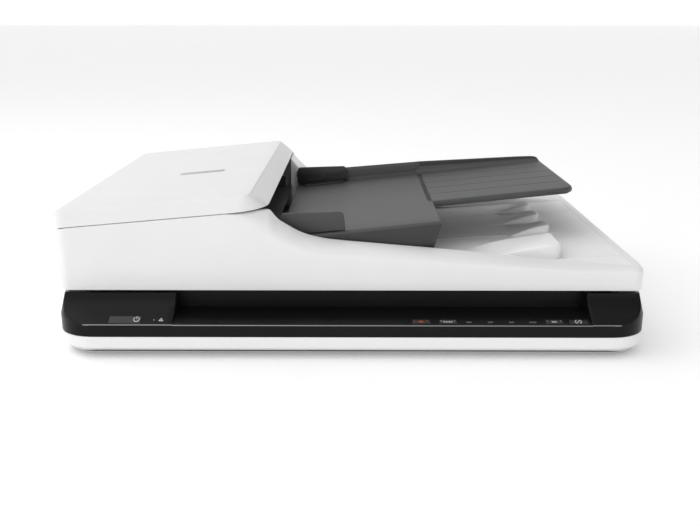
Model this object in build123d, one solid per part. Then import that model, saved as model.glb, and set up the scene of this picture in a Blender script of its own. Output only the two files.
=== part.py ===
from build123d import *
import math
import os

# Flatbed scanner with a sheet feeder built into its lid. Millimetres, +X right, +Y to the back, +Z up.
# The origin is on the table, under the middle of the body.

# --- base casing ---
BASE_HALF_X = 225.5
BASE_FRONT = -175.5
BASE_BACK = 157.0
BASE_FLOOR = 2.5
BASE_TOP = 45.5
BASE_BULGE_Z = 30.0        # the side walls lean inwards above this height
BASE_TAPER_DEG = 14.5
BASE_CHAMFER = 6.5
FRONT_CORNER_R = 30.0
BACK_CORNER_R = 20.0
CAVITY_R = 26.0
CAVITY_HALF_X = 218.5
CAVITY_BACK = 152.0
WALL = 2.5

BASE_SCREWS = [(-150, -148), (-40, -148), (150, -148), (-70, 140), (0, 140), (70, 140)]

# --- front bezel ---
BEZEL_BACK = -150.0
BEZEL_LOW = 17.5
SHELF_FRONT_Z = 27.1
SHELF_BACK = (-163.0, 34.0)
POCKET_X = (-134.6, 180.6)
POCKET_BACK = -141.5
POCKET_FLOOR = 30.5
STRIP_BACK = (-165.0, 29.3)
PANEL_HALF_X = 200.0
PANEL_BACK = -138.3
BOARD_TOP = 19.6           # the key board under the bezel
KEY_LOW = 22.0
KEY_RISE = 0.35            # how far a key stands out of the panel
KEYS = {                   # x, y, width, depth
    "power_button": (-170.4, -171.2, 24.0, 5.6),
    "cancel_key": (52.3, -170.2, 13.0, 5.0),
    "tools_key": (72.5, -170.2, 13.0, 5.0),
    "duplex_key": (152.4, -170.2, 13.0, 5.0),
    "scan_key": (170.5, -170.2, 14.0, 5.0),
}

# --- glass ---
GLASS_TOP = 45.3
GLASS_T = 3.0
FLATBED = (-155.0, 150.0, -121.0, 96.0)
FEEDER_SLIT = (-192.0, -172.0, -124.0, 99.0)
LEDGE = 3.0
FRAME_LOW = 41.0

# --- scan head and its drive ---
CARRIAGE_X = -182.0
CARRIAGE_W = 36.0
ROD_Y, ROD_Z, ROD_R = -12.5, 14.0, 4.0
RUNNING = 0.05             # radial clearance of a running fit
GAP = 0.4                  # clearance between parts that pass each other
BELT_Y, BELT_LOW, BELT_HIGH = -50.0, 12.0, 18.0
PULLEY_R, BELT_T, BELT_AIR = 8.0, 1.2, 0.3
DRIVE_X, IDLER_X = 188.0, -206.0
ROD_END = 178.0

# --- hinges ---
HINGE_X = 130.0
HINGE_Y, HINGE_Z = 163.0, 52.0
HOUSING_BACK = 175.5

# --- lid ---
LID_HALF_X = 225.5
LID_FRONT, LID_BACK = -152.8, 152.6
LID_LOW = 47.3
LID_R = 8.0
FEEDER_RIGHT = -64.0
MOUTH_FRONT, MOUTH_BACK = -136.0, 111.0
TOP_Z0, TOP_SLOPE = 129.1, 0.0945          # feeder cover's top: z = TOP_Z0 + TOP_SLOPE * x
SPLIT_Z0, SPLIT_SLOPE = 115.3, 0.0893      # joint line between cover and lid
COVER_GAP = 0.9
COVER_T = 2.2
COVER_CORNER_R = 25.0
COVER_EDGE = (-76.0, 121.9)                # upper edge of the cover's right face
COVER_PIVOT = (-223.3, 96.6)
COVER_LUGS_Y = (-105, 105)
LUG_R = 2.2
LID_SCREWS = [(-208, -140), (-60, -140), (100, -140), (208, -140), (-208, 138), (0, 138), (208, 138)]

# Front rim of the lid: x, crease height at the front face, y and z of the inner edge.
FRONT_RIM = [
    (-92.0, 105.2, -150.2, 106.8), (-80.0, 99.5, -147.5, 107.6), (-72.0, 93.5, -142.5, 108.2),
    (-64.0, 87.5, -136.0, 107.6), (-57.0, 83.0, -135.5, 100.2), (-48.5, 79.2, -134.5, 94.4),
    (-41.0, 77.0, -133.0, 89.8), (-33.0, 75.3, -132.0, 86.5), (-16.5, 73.2, -130.0, 82.7),
    (22.0, 70.5, -129.0, 78.9), (65.0, 68.2, -129.0, 75.2), (93.0, 66.7, -129.0, 72.5),
    (125.0, 65.0, -129.0, 69.3), (156.0, 63.3, -129.5, 66.7), (193.0, 61.5, -136.7, 65.5),
    (216.0, 60.3, -144.8, 65.0),
]
# Rear rim: x and height.
REAR_RIM = [
    (-64.0, 108.4), (-57.0, 100.2), (-48.5, 93.0), (-33.0, 86.0), (-16.5, 82.0), (22.0, 77.5),
    (65.0, 74.0), (125.0, 69.0), (193.0, 65.5), (216.0, 64.5),
]
RIM_T = 2.5
BIN_RIGHT = 218.5
BIN_FLOOR = [(-60.0, 57.5), (70.0, 54.8), (218.5, 64.2)]   # x and height of the output floor
BIN_T = 2.2
BIN_LOW = 52.4
BIN_EDGE_Z = 64.2
# Wedges on the output floor: y from and to, x where they start and end, height of the end.
FINGERS = [(-111.0, -66.0, 95.0, 170.0, 72.6), (-27.0, -7.0, 141.0, 178.0, 69.6),
           (21.0, 41.0, 141.0, 178.0, 69.0), (65.0, 85.0, 141.0, 178.0, 69.0)]

# --- sheet tray: built flat, then tilted about the line z = TRAY_Z at x = 0 ---
TRAY_Z, TRAY_TILT = 88.4, 5.87
TRAY_LEFT, TRAY_STEP, TRAY_RIGHT = -57.0, 70.0, 193.5
TRAY_FRONT, TRAY_BACK = -127.0, 109.0
EXTENSION_FRONT = -47.0
TRAY_PIVOT = (-50.0, -6.0)
SHEET_FRONT, SHEET_BACK = -121.5, 96.5
GUIDE_U = (-55.0, -5.0)
GUIDE_H = 15.0
GUIDE_TRAVEL = 75.0
NECK_FRONT_U = (-43.0, -38.2)              # slots in the tray for the necks of the two guides
NECK_REAR_U = (-21.8, -17.0)
RACK_TEETH = 28
PINION_U, PINION_Y, PINION_TEETH = -30.0, -12.5, 14

# --- sheet feeder ---
FRAME_FRONT, FRAME_BACK = -133.0, 109.0    # outer faces of the feeder's side plates
PLATE_T = 3.0
FEED = (-182.0, 68.0)
EXIT = (-100.0, 67.0)
GEAR_Y = (109.6, 116.0)
PULLEY_Y = (116.6, 122.0)
FEED_TEETH, PINION_GEAR_TEETH, EXIT_TEETH = 36, 12, 20
FEED_MODULE, EXIT_MODULE = 0.9, 1.25
SHAFT_R = 3.0
PINCH_Z = 87.8
PINCH_ARMS = (-61, 33)


def block(x0, x1, y0, y1, z0, z1):
    return Pos((x0 + x1) / 2, (y0 + y1) / 2, (z0 + z1) / 2) * Box(x1 - x0, y1 - y0, z1 - z0)


def rod_x(x0, x1, y, z, r):
    return Pos((x0 + x1) / 2, y, z) * Rot(0, 90, 0) * Cylinder(r, x1 - x0)


def rod_y(x, z, y0, y1, r):
    return Pos(x, (y0 + y1) / 2, z) * Rot(90, 0, 0) * Cylinder(r, y1 - y0)


def rod_z(x, y, z0, z1, r):
    return Pos(x, y, (z0 + z1) / 2) * Cylinder(r, z1 - z0)


def prism_x(outline, x0, x1):
    """A (y, z) outline carried along X."""
    face = make_face(Polyline(*[(x0, y, z) for y, z in outline], close=True))
    return extrude(face, amount=x1 - x0, dir=(1, 0, 0))


def prism_y(outline, y0, y1):
    """An (x, z) outline carried along Y."""
    face = make_face(Polyline(*[(x, y0, z) for x, z in outline], close=True))
    return extrude(face, amount=y1 - y0, dir=(0, 1, 0))


def prism_z(outline, z0, z1):
    """An (x, y) outline carried along Z."""
    face = make_face(Polyline(*[(x, y, z0) for x, y in outline], close=True))
    return extrude(face, amount=z1 - z0, dir=(0, 0, 1))


def rounded_plate(x0, x1, y0, y1, z0, z1, r):
    """A block with rounded vertical edges."""
    plan = Pos((x0 + x1) / 2, (y0 + y1) / 2, z0) * RectangleRounded(x1 - x0, y1 - y0, r)
    return extrude(plan, amount=z1 - z0)


def gear(module, teeth, first_deg, thickness):
    """A spur gear in the XY plane with straight-sided, thin teeth; one tooth points at first_deg."""
    pitch_r = module * teeth / 2
    root_r, tip_r = pitch_r - 1.15 * module, pitch_r + 0.8 * module
    step = 360 / teeth
    outline = []
    for i in range(teeth):
        centre = first_deg + i * step
        for radius, offset in ((root_r, -0.34), (tip_r, -0.12), (tip_r, 0.12), (root_r, 0.34)):
            angle = math.radians(centre + offset * step)
            outline.append((radius * math.cos(angle), radius * math.sin(angle)))
    return prism_z(outline, 0, thickness)


def gear_on_y(module, teeth, first_deg, x, z, y0, y1):
    """A gear whose axis is along Y; first_deg is measured in the XZ plane from +X towards +Z."""
    return Pos(x, y1, z) * Rot(90, 0, 0) * gear(module, teeth, first_deg, y1 - y0)


def belt_loop(circles, inner, outer):
    """A flat belt in the XY plane around equal circles (x, y)."""
    def hull(radius):
        (xa, ya), (xb, yb) = circles
        length = math.hypot(xb - xa, yb - ya)
        turn = math.degrees(math.atan2(yb - ya, xb - xa))
        slot = SlotCenterToCenter(length, 2 * radius)
        return Pos((xa + xb) / 2, (ya + yb) / 2, 0) * Rot(0, 0, turn) * slot
    return hull(outer) - hull(inner)


def top_z(x):
    return TOP_Z0 + TOP_SLOPE * x


def split_z(x):
    return SPLIT_Z0 + SPLIT_SLOPE * x


def tilted(shape):
    """Moves a piece from the flat tray frame to its place."""
    return Pos(0, 0, TRAY_Z) * Rot(0, -TRAY_TILT, 0) * shape


PARTS = {}


def keep(name, shape):
    PARTS[name] = shape if not isinstance(shape, list) else Compound(children=shape)


# ---------------------------------------------------------------- base

def base_outline(z):
    width, depth = 2 * BASE_HALF_X, BASE_BACK - BASE_FRONT
    plan = Pos(0, (BASE_BACK + BASE_FRONT) / 2, z) * Rectangle(width, depth)
    plan = fillet(plan.vertices().group_by(Axis.Y)[0], FRONT_CORNER_R)
    return fillet(plan.vertices().group_by(Axis.Y)[-1], BACK_CORNER_R)


def base_envelope():
    lower = extrude(base_outline(BASE_FLOOR), amount=BASE_BULGE_Z - BASE_FLOOR)
    lower = chamfer(lower.faces().sort_by(Axis.Z)[0].edges(), BASE_CHAMFER)
    upper = extrude(base_outline(BASE_BULGE_Z), amount=BASE_TOP - BASE_BULGE_Z, taper=BASE_TAPER_DEG)
    return lower + upper


def cavity(z0, z1):
    return rounded_plate(-CAVITY_HALF_X, CAVITY_HALF_X, -173.0, CAVITY_BACK, z0, z1, CAVITY_R)


def bezel_zone():
    """The room that the bezel takes from the casing, round both front corners."""
    return block(-BASE_HALF_X, BASE_HALF_X, BASE_FRONT, BEZEL_BACK, BEZEL_LOW, BASE_TOP + 5)


def hinge_socket(x):
    outer = rounded_plate(x - 26, x + 26, CAVITY_BACK - 4, HOUSING_BACK, BASE_FLOOR, 44.0, 3.5)
    outer -= block(x - 27, x + 27, 100, CAVITY_BACK, 0, 60)
    return outer, block(x - 20.4, x + 20.4, 153.6, 171.8, 8.0, 60.0)


def make_base(envelope):
    tub = envelope - cavity(BASE_FLOOR + WALL, 60) - bezel_zone()
    for side in (-1, 1):
        outer, hole = hinge_socket(side * HINGE_X)
        tub = tub + outer - hole
    tub += block(-212, -205, ROD_Y - 8, ROD_Y + 8, 4, 20)
    tub += block(ROD_END - 6, ROD_END, ROD_Y - 8, ROD_Y + 8, 4, 20)
    tub -= rod_x(-209, ROD_END + 0.5, ROD_Y, ROD_Z, ROD_R)
    tub += block(-204, 168, 106, 110, 4, 13)
    for x, y in BASE_SCREWS:
        tub += rod_z(x, y, 4, 16, 4) - rod_z(x, y, 8, 17, 1.5)
    for x in (176, 201):
        for y in (66, 130):
            tub += rod_z(x, y, 4, 9, 3)
    tub += rod_z(IDLER_X, BELT_Y, 4, 11.4, 5) + rod_z(IDLER_X, BELT_Y, 4, 19.5, 2)
    tub -= block(174.5, 187.5, 140, 160, 10.6, 22.2)
    tub -= block(193.5, 204.5, 140, 160, 10.6, 21.7)
    for i in range(9):
        tub -= block(-96 + 12 * i, -90 + 12 * i, 40, 80, 0, 10)
    keep("base_tub", tub)


def bezel_section():
    """Bezel section: upright nose, sloping shelf, hollow shoulder up to the lid."""
    y_top = LID_FRONT - 0.4
    shoulder = [SHELF_BACK]
    for i in range(1, 9):
        angle = math.radians(90 * i / 8)
        shoulder.append((SHELF_BACK[0] + (y_top - SHELF_BACK[0]) * math.sin(angle),
                         SHELF_BACK[1] + (BASE_TOP - SHELF_BACK[1]) * (1 - math.cos(angle))))
    nose = [(BEZEL_BACK, BEZEL_LOW), (BASE_FRONT - 1, BEZEL_LOW), (BASE_FRONT - 1, SHELF_FRONT_Z)]
    return nose + shoulder + [(BEZEL_BACK, BASE_TOP)]


def pocket_outline():
    return [(POCKET_BACK, POCKET_FLOOR), STRIP_BACK, (BASE_FRONT - 2, SHELF_FRONT_Z - 0.3),
            (BASE_FRONT - 2, 60), (POCKET_BACK, 60)]


def key_cap(x, y, width, depth, surface):
    """A key cut from the raised panel surface, with a flange below that keeps it in."""
    cap = block(x - width / 2, x + width / 2, y - depth / 2, y + depth / 2, KEY_LOW, 40) & surface
    return cap + block(x - width / 2 - 1.2, x + width / 2 + 1.2, y - depth / 2 + 1.6, y + depth / 2,
                       KEY_LOW - 0.6, KEY_LOW + 0.8)


def make_bezel(envelope):
    shelf = prism_x(bezel_section(), -226, 226)
    pocket = prism_x(pocket_outline(), *POCKET_X)
    bezel = envelope & bezel_zone() & shelf
    bezel += block(-PANEL_HALF_X, PANEL_HALF_X, BEZEL_BACK - 1, PANEL_BACK, 26.0, BASE_TOP)
    bezel -= pocket
    hollow = [(-173, 10), (-173, 24.4), (-165, 26.6), (POCKET_BACK, 27.8), (PANEL_BACK + 1, 27.8),
              (PANEL_BACK + 1, 10)]
    bezel -= prism_x(hollow, -184, 184)
    raised = Pos(0, 0, KEY_RISE) * (envelope & bezel_zone() & shelf - pocket)
    for x in (-180, -60, 66, 144):
        bezel += block(x - 2, x + 2, -157, -153, BOARD_TOP, 28.5)
    for name, (x, y, width, depth) in KEYS.items():
        half_x, half_y = width / 2 + GAP, depth / 2 + GAP
        bezel -= block(x - half_x, x + half_x, y - half_y, y + half_y, 18, 40)
        keep(name, key_cap(x, y, width, depth, raised))
    keep("front_bezel", bezel)
    keep("panel_board", block(-183, 183, -172.4, -150, BOARD_TOP - 1.6, BOARD_TOP))
    low, high = BOARD_TOP, BOARD_TOP + 0.8
    keep("key_switches", [block(x - 3, x + 3, y - 1.5, y + 2, low, high) for x, y, _, _ in KEYS.values()])


def make_platen():
    frame = cavity(FRAME_LOW, BASE_TOP) - block(-230, 230, -180, BEZEL_BACK, 0, 60)
    frame -= block(-PANEL_HALF_X - 0.3, PANEL_HALF_X + 0.3, -180, PANEL_BACK + 0.3, 0, 60)
    for x0, x1, y0, y1 in (FLATBED, FEEDER_SLIT):
        frame -= block(x0, x1, y0, y1, 40, 50)
        frame -= block(x0 - LEDGE, x1 + LEDGE, y0 - LEDGE, y1 + LEDGE, GLASS_TOP - GLASS_T, 50)
    keep("platen_frame", frame)
    for name, (x0, x1, y0, y1) in (("platen_glass", FLATBED), ("feeder_glass", FEEDER_SLIT)):
        keep(name, block(x0 - LEDGE, x1 + LEDGE, y0 - LEDGE, y1 + LEDGE, GLASS_TOP - GLASS_T, GLASS_TOP))


def make_scan_head():
    x0, x1 = CARRIAGE_X - CARRIAGE_W / 2, CARRIAGE_X + CARRIAGE_W / 2
    head = block(x0, x1, -130, 104, 21, 38) + block(x0, x1, ROD_Y - 9, ROD_Y + 9, 7, 21)
    head -= rod_x(x0 - 1, x1 + 1, ROD_Y, ROD_Z, ROD_R + RUNNING)
    run_y = BELT_Y + PULLEY_R + BELT_AIR + BELT_T / 2
    clamp = block(x0 + 10, x1 - 10, run_y - 5, run_y + 5, 11, 21)
    head += clamp - block(x0, x1, run_y - BELT_T / 2 - GAP, run_y + BELT_T / 2 + GAP, 0, BELT_HIGH + GAP)
    head += block(x0 + 4, x1 - 4, 104, 112, 21, 30) + block(x0 + 4, x1 - 4, 105, 111, 13.4, 21)
    head -= block(CARRIAGE_X - 9, CARRIAGE_X + 9, -126, 101, 34, 40)
    keep("carriage", head)
    bar = block(CARRIAGE_X - 9, CARRIAGE_X + 9, -126, 101, 34, 40.4)
    bar -= block(CARRIAGE_X - 1.5, CARRIAGE_X + 1.5, -122, 97, 38.4, 41)
    keep("sensor_bar", bar)
    keep("guide_rod", rod_x(-209, ROD_END, ROD_Y, ROD_Z, ROD_R))
    pulleys = [(IDLER_X, BELT_Y), (DRIVE_X, BELT_Y)]
    belt = belt_loop(pulleys, PULLEY_R + BELT_AIR, PULLEY_R + BELT_AIR + BELT_T)
    keep("scan_belt", Pos(0, 0, BELT_LOW) * extrude(belt, amount=BELT_HIGH - BELT_LOW))
    wheel = rod_z(0, 0, BELT_LOW - 0.3, BELT_HIGH + 0.5, PULLEY_R)
    keep("drive_pulley", Pos(DRIVE_X, BELT_Y, 0) * (wheel + rod_z(0, 0, 9, 36, 2.5)))
    keep("idler_pulley", Pos(IDLER_X, BELT_Y, 0) * (wheel - rod_z(0, 0, 0, 30, 2 + RUNNING)))
    motor = rounded_plate(DRIVE_X - 15, DRIVE_X + 15, BELT_Y - 15, BELT_Y + 15, 21.5, 39, 4)
    keep("scan_motor", motor - rod_z(DRIVE_X, BELT_Y, 20, 37, 2.5 + RUNNING))
    plate = block(DRIVE_X - 17, DRIVE_X + 22, BELT_Y - 18, BELT_Y + 18, 20, 21.5)
    plate -= rod_z(DRIVE_X, BELT_Y, 19, 22, 4.5)
    for y in (BELT_Y - 18, BELT_Y + 15):
        plate += block(DRIVE_X + 12, DRIVE_X + 22, y, y + 3, BASE_FLOOR + WALL, 20)
    keep("motor_bracket", plate)


def make_electrics():
    board = block(170, 207, 58, 140, 9.0, 10.6)
    board += block(182, 198, 84, 100, 10.6, 12.6) + block(184, 196, 106, 114, 10.6, 12.0)
    board += block(176, 182, 74, 82, 10.6, 14.0)
    keep("main_board", board)
    socket = block(175, 187, 139, BASE_BACK, 10.6, 21.7)
    keep("usb_socket", socket - block(176.8, 185.2, 145, BASE_BACK + 1, 12.2, 20.0))
    jack = block(194, 204, 143, BASE_BACK, 10.6, 21.2)
    jack -= rod_y(199, 16, 147.5, BASE_BACK + 1, 2.9)
    keep("dc_jack", jack)


def make_base_fittings():
    feet = []
    for x, y in ((-185, -150), (185, -150), (-195, 125), (195, 125)):
        foot = rounded_plate(x - 16, x + 16, y - 8, y + 8, 0, BASE_FLOOR, 7.0)
        feet.append(chamfer(foot.faces().sort_by(Axis.Z)[0].edges(), 0.6))
    keep("rubber_feet", feet)
    keep("base_screws", [rod_z(x, y, 16, 17.6, 3) + rod_z(x, y, 8, 16, 1.5) for x, y in BASE_SCREWS])


# ---------------------------------------------------------------- hinges

def make_hinges():
    pins = []
    for name, side in (("left", -1), ("right", 1)):
        x = side * HINGE_X
        post = block(x - 20, x + 20, 154, 171.4, 8.3, 45.5)
        for ear in (x - 20, x + 13):
            post += block(ear, ear + 7, 157.5, 168.5, 45, HINGE_Z)
            post += rod_x(ear, ear + 7, HINGE_Y, HINGE_Z, 5.5)
        post -= rod_x(x - 20.1, x + 20.1, HINGE_Y, HINGE_Z, 2.5)
        keep("hinge_post_" + name, post)
        pins.append(rod_x(x - 20, x + 20, HINGE_Y, HINGE_Z, 2.5))
        arm = rod_x(x - 12.5, x + 12.5, HINGE_Y, HINGE_Z, 5.2)
        arm += block(x - 12.5, x + 12.5, 140, HINGE_Y, HINGE_Z - 1.2, HINGE_Z + 3.8)
        arm -= rod_x(x - 13, x + 13, HINGE_Y, HINGE_Z, 2.5 + RUNNING)
        keep("hinge_arm_" + name, arm)
    keep("hinge_pins", pins)


# ---------------------------------------------------------------- lid

def rim_front_section(x, crease, y_in, z_in, skin=0.0):
    """Closed (y, z) outline of the front rim, drawn in by skin on its outer sides."""
    y_out = LID_FRONT + skin
    span_y, span_z = y_in - LID_FRONT, z_in - crease
    shape = [(y_out, LID_LOW - (1 if skin else 0)), (y_out, crease - 0.6 * skin)]
    for part_y, part_z in ((0.12, 0.42), (0.38, 0.76), (0.7, 0.93)):
        shape.append((LID_FRONT + max(skin, part_y * span_y), crease + part_z * span_z - skin))
    shape += [(y_in - skin, z_in - skin), (y_in - skin, LID_LOW - (1 if skin else 0))]
    return shape


def loft_x(sections):
    """Ruled solid through (x, outline) sections with equal numbers of corners."""
    faces = [make_face(Polyline(*[(x, y, z) for y, z in outline], close=True)) for x, outline in sections]
    return loft(faces, ruled=True)


def front_rim():
    outer = loft_x([(s[0], rim_front_section(*s)) for s in FRONT_RIM])
    inner = loft_x([(s[0], rim_front_section(*s, skin=RIM_T)) for s in FRONT_RIM[3:-1]])
    return outer - inner


def rear_rim():
    def section(z, skin):
        low = LID_LOW - (1 if skin else 0)
        front, back, top = MOUTH_BACK + skin, LID_BACK - skin, z - skin
        return [(front, low), (front, top - 1.5), (front + 3, top),
                (back - 3, top), (back, top - 3), (back, low)]
    outer = loft_x([(x, section(z, 0)) for x, z in REAR_RIM])
    return outer - loft_x([(x, section(z, RIM_T)) for x, z in REAR_RIM])


def feeder_walls():
    outer = rounded_plate(-LID_HALF_X, FEEDER_RIGHT + 20, LID_FRONT, LID_BACK, LID_LOW, 112, LID_R)
    y0, y1 = LID_FRONT + WALL, LID_BACK - WALL
    walls = outer - rounded_plate(-LID_HALF_X + WALL, FEEDER_RIGHT + 30, y0, y1, 40, 120, 5.5)
    walls -= block(-92, 0, -160, 0, 40, 120)
    walls -= block(FEEDER_RIGHT, 0, -160, 160, 40, 120)
    above = [(-240, split_z(-240)), (0, split_z(0)), (0, 140), (-240, 140)]
    return walls - prism_y(above, -160, 160)


def right_wall():
    outer = rounded_plate(190, LID_HALF_X, LID_FRONT, LID_BACK, LID_LOW, 61.5, LID_R)
    inner = rounded_plate(180, LID_HALF_X - WALL, LID_FRONT + WALL, LID_BACK - WALL, 40, 70, 5.5)
    outer -= inner
    outer -= block(180, 216, -160, 160, 40, 70)
    lip = [(BIN_RIGHT, 60), (LID_HALF_X, 60), (LID_HALF_X, 62.6), (LID_HALF_X - 1.6, BIN_EDGE_Z),
           (BIN_RIGHT, BIN_EDGE_Z)]
    return outer + prism_y(lip, LID_FRONT + LID_R, LID_BACK - LID_R)


def make_lid_shell():
    shell = feeder_walls() + front_rim() + rear_rim() + right_wall()
    px, pz = COVER_PIVOT
    shell -= rounded_plate(-222.5, 222.5, -149.6, 149.6, 40, BIN_LOW, 5.0)
    shell -= rod_y(px, pz, LID_FRONT - 1, LID_BACK + 1, 3.0)
    for y in COVER_LUGS_Y:
        for y0 in (y - 8, y + 3.3):
            shell += rod_y(px, pz, y0, y0 + 4.7, LUG_R) + block(px - 1.3, px + 1.3, y0, y0 + 4.7, pz - 6, pz)
        shell -= rod_y(px, pz, y - 8.1, y + 8.1, 1.0)
    for side in (-1, 1):
        shell -= block(side * HINGE_X - 14, side * HINGE_X + 14, 140, 160, 40, 60.5)
    for y0, y1 in ((MOUTH_FRONT - 2.6, MOUTH_FRONT + 4), (MOUTH_BACK - 1, MOUTH_BACK + 3)):
        u, w = TRAY_PIVOT
        shell -= tilted(rod_y(u, w, y0, y1, 2 + RUNNING))
    keep("lid_shell", shell)


def bin_floor_z(x):
    for (xa, za), (xb, zb) in zip(BIN_FLOOR, BIN_FLOOR[1:]):
        if x <= xb:
            return za + (x - xa) / (xb - xa) * (zb - za)
    return BIN_FLOOR[-1][1]


def wedge(start, end, top, y0, y1, sink):
    """A ramp on the output floor with a rounded nose, drawn in by sink on every side but the lowest."""
    low = 1.0 + 2 * sink
    tip, tail, crest = end - sink, start + 12 * sink, top - sink
    outline = [(tail, bin_floor_z(start) - low), (tail, bin_floor_z(start) - 0.4 * sink),
               (end - 9, crest - 0.4), (tip - 4, crest), (tip - 1, crest - 1.6), (tip, top - 4.5),
               (tip, bin_floor_z(end) - low)]
    solid = prism_y(outline, y0 + sink, y1 - sink)
    plan = [(start - 1, y0), (end - 8, y0), (end - 2.5, y0 + 3), (end, y0 + 9), (end, y1 - 4), (end - 3, y1),
            (start - 1, y1)]
    return solid & prism_z(plan, 40, 90)


def make_output_bin():
    slab = prism_y(BIN_FLOOR + [(x, z - BIN_T) for x, z in reversed(BIN_FLOOR)], LID_FRONT, LID_BACK)
    plan = [(-60, MOUTH_FRONT + 1.2), (-16.5, -129.8), (22, -128.8), (156, -128.8), (193, -136), (215, -144),
            (BIN_RIGHT, -144), (BIN_RIGHT, MOUTH_BACK - 0.3), (-60, MOUTH_BACK - 0.3)]
    floor = slab & prism_z(plan, 40, 80)
    for y0, y1, start, end, top in FINGERS:
        floor += wedge(start, end, top, y0, y1, 0)
    for y0, y1, start, end, top in FINGERS:
        floor -= wedge(start, end, top, y0, y1, 2.0)
    keep("output_bin", floor)


def make_lid_underside():
    pan = rounded_plate(-220, 220, -148.5, 148.5, 48.8, 50.8, 5.0)
    pan -= block(-196, -168, -127, 102, 40, 60)
    for side in (-1, 1):
        pan -= block(side * HINGE_X - 13.5, side * HINGE_X + 13.5, 139, 160, 40, 60)
    for x, y in LID_SCREWS:
        pan += rod_z(x, y, 50.8, BIN_LOW - 0.2, 3.6)
        pan -= rod_z(x, y, 45, BIN_LOW - 0.4, 1.5)
    keep("lid_underpan", pan)
    x0, x1, y0, y1 = FLATBED
    keep("backing_mat", rounded_plate(x0, x1, y0, y1, 45.8, 48.8, 3.0))
    keep("lid_screws", [rod_z(x, y, 47.4, 48.8, 3.0) + rod_z(x, y, 48.8, BIN_LOW - 0.6, 1.5)
                        for x, y in LID_SCREWS])
    presser = block(-192, -172, -123, 98, 46.0, 49.6)
    keep("pressure_plate", presser + block(-196, -168, -126, 101, 49.6, 50.8))


# ---------------------------------------------------------------- feeder cover

def cover_outline(skin):
    """(x, z) section of the cover, drawn in by skin."""
    left, right = -LID_HALF_X + skin, FEEDER_RIGHT - skin
    x_top, z_top = COVER_EDGE
    drop = skin + 8 if skin else 0
    return [(left, split_z(left) + COVER_GAP - drop), (left, top_z(left) - 3.0 - skin),
            (left + 3.5, top_z(left + 3.5) - skin), (x_top - 0.6 * skin, z_top - skin),
            (right, split_z(right) + COVER_GAP - drop)]


def cover_plan(skin):
    width = FEEDER_RIGHT + LID_HALF_X - 2 * skin
    depth = LID_BACK - LID_FRONT - 2 * skin
    plan = Pos((FEEDER_RIGHT - LID_HALF_X) / 2, (LID_BACK + LID_FRONT) / 2, 50) * Rectangle(width, depth)
    front = plan.vertices().group_by(Axis.Y)[0].sort_by(Axis.X)
    plan = fillet(front[-1], COVER_CORNER_R - skin)
    rest = [v for v in plan.vertices() if v.X < -200 or v.Y > 100]
    return extrude(fillet(rest, LID_R - skin), amount=90, dir=(0, 0, 1))


def under_top(x0, x1, deep, shallow):
    """A band between two depths below the cover's top, as an (x, z) outline."""
    low = [(x, top_z(x) - deep) for x in (x0, x1)]
    return low + [(x, top_z(x) - shallow) for x in (x1, x0)]


def make_cover():
    outer = prism_y(cover_outline(0), -160, 160) & cover_plan(0)
    inner = prism_y(cover_outline(COVER_T), -160, 160) & cover_plan(COVER_T)
    cover = outer - inner
    px, pz = COVER_PIVOT
    for y in COVER_LUGS_Y:
        cover -= rod_y(px, pz, y - 8.6, y + 8.6, LUG_R + 0.55)
        cover -= block(-LID_HALF_X - 1, px, y - 8.6, y + 8.6, 90, pz + 2.7)
        cover += rod_y(px, pz, y - 3, y + 3, LUG_R) + block(px - 1.2, px + 2.1, y - 3, y + 3, pz, pz + 4.6)
        cover -= rod_y(px, pz, y - 3.1, y + 3.1, 1.0 + RUNNING)
    keep("feeder_cover", cover)
    keep("cover_pins", [rod_y(px, pz, y - 8, y + 8, 1.0) for y in COVER_LUGS_Y])
    make_cover_fittings()


def make_cover_fittings():
    """The blank badge on top, and the ribbed sheet guide with its pinch roller underneath."""
    badge = Pos(-133, -22, 0) * extrude(SlotOverall(40, 9), amount=200)
    keep("cover_badge", badge & prism_y(under_top(-170, -100, 0, -0.35), -60, 20))
    guide = prism_y(under_top(-208, -84, 9, 7), -124, 99)
    for i in range(8):
        guide += prism_y(under_top(-206, -88, 7, 3), -118 + 30 * i, -116 + 30 * i)
    for y in PINCH_ARMS:
        arm = block(FEED[0] - 3, FEED[0] + 3, y, y + 3, PINCH_Z - 4, 106)
        guide += arm - rod_y(FEED[0], PINCH_Z, y - 1, y + 4, 1.5 + RUNNING)
    keep("cover_guide", guide)
    pinch = rod_y(FEED[0], PINCH_Z, -62, 37, 1.5)
    for y0, y1 in ((-55, -35), (-22, -3), (10, 30)):
        pinch += rod_y(FEED[0], PINCH_Z, y0, y1, 4.8)
    keep("pinch_roller", pinch)


# ---------------------------------------------------------------- sheet tray

def rail_section(height):
    return [(96.5 + 4, -0.3), (101.5, 0.6), (104.5, height - 2.0), (106.0, height), (108.0, height),
            (TRAY_BACK, height - 1.2), (TRAY_BACK, -2.4)]


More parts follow.
